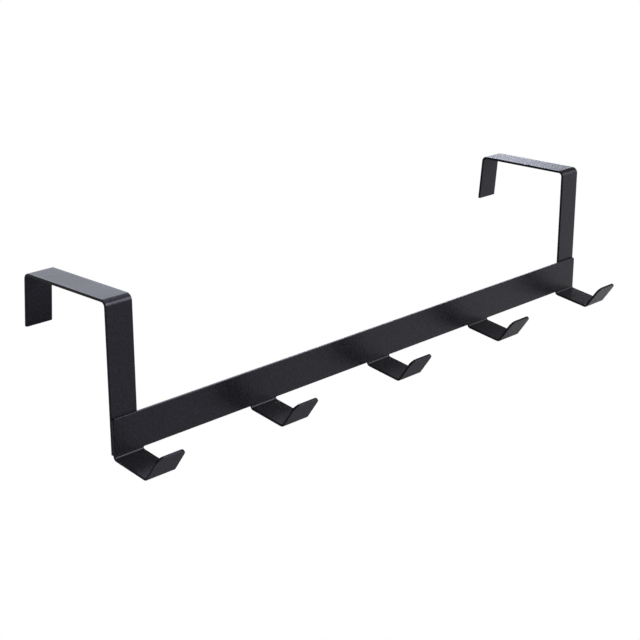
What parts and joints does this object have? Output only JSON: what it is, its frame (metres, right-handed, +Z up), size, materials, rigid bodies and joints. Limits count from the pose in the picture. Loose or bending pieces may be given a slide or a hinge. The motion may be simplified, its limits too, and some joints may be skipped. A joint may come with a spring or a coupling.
{
  "type": "over door hook",
  "caption": "Flat steel rail with folded hooks along its lower edge, on strip brackets that hang over the top edge of a door, in satin black powder coat.",
  "frame": {"origin": "on the door's front top edge, half way along the rail: the backs of the front legs lie in Y = 0 and the undersides of the bracket tops in Z = 0", "axes": "+X along the rail, +Y from the room through the door, so that the hooks face -Y, and +Z up"},
  "size_m": [0.302, 0.0803, 0.0669],
  "materials": {
    "powder_coat": "satin black powder coat on sheet steel"
  },
  "bodies": {
    "root": {"hook_rail": "powder_coat", "left_door_bracket": "powder_coat", "right_door_bracket": "powder_coat"}
  },
  "joints": []
}
